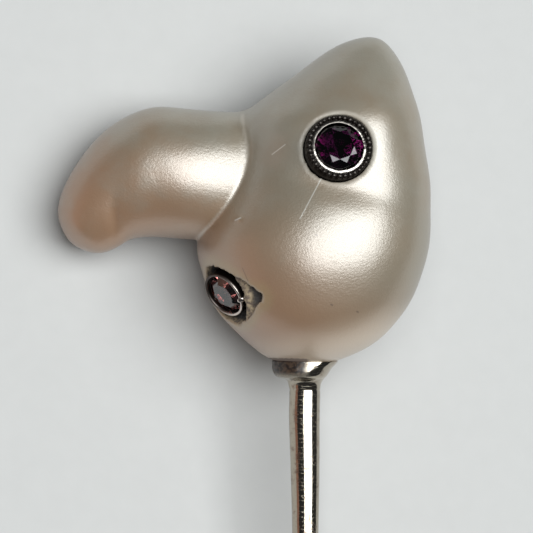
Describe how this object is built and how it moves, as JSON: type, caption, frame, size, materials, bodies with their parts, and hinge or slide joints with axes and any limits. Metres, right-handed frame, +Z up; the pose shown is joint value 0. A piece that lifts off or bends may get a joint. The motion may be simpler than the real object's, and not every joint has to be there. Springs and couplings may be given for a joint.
{
  "type": "stick pin with a baroque pearl head",
  "caption": "Stick pin: a baroque pearl shaped like a bird's head with faceted stones for eye and mouth, on a cup and straight pointed stem.",
  "frame": {"origin": "middle of the base of the bounding box of the pin as it lies on its back", "axes": "+Z up from the surface it lies on, -Y along the stem towards its point, -X towards the beak"},
  "size_m": [0.0128, 0.059, 0.0073],
  "materials": {
    "nacre": "pearl lustre",
    "dark_silver": "oxidised, worn bright on the edges",
    "eye_gem": "faceted, polished",
    "old_silver": "worn and tarnished",
    "mouth_gem": "faceted, polished",
    "white_gold": "polished, lightly tarnished"
  },
  "bodies": {
    "root": {"pearl": "nacre", "eye_collet": "dark_silver", "eye_stone": "eye_gem", "mouth_collet": "old_silver", "mouth_stone": "mouth_gem", "pin": "white_gold"}
  },
  "joints": []
}
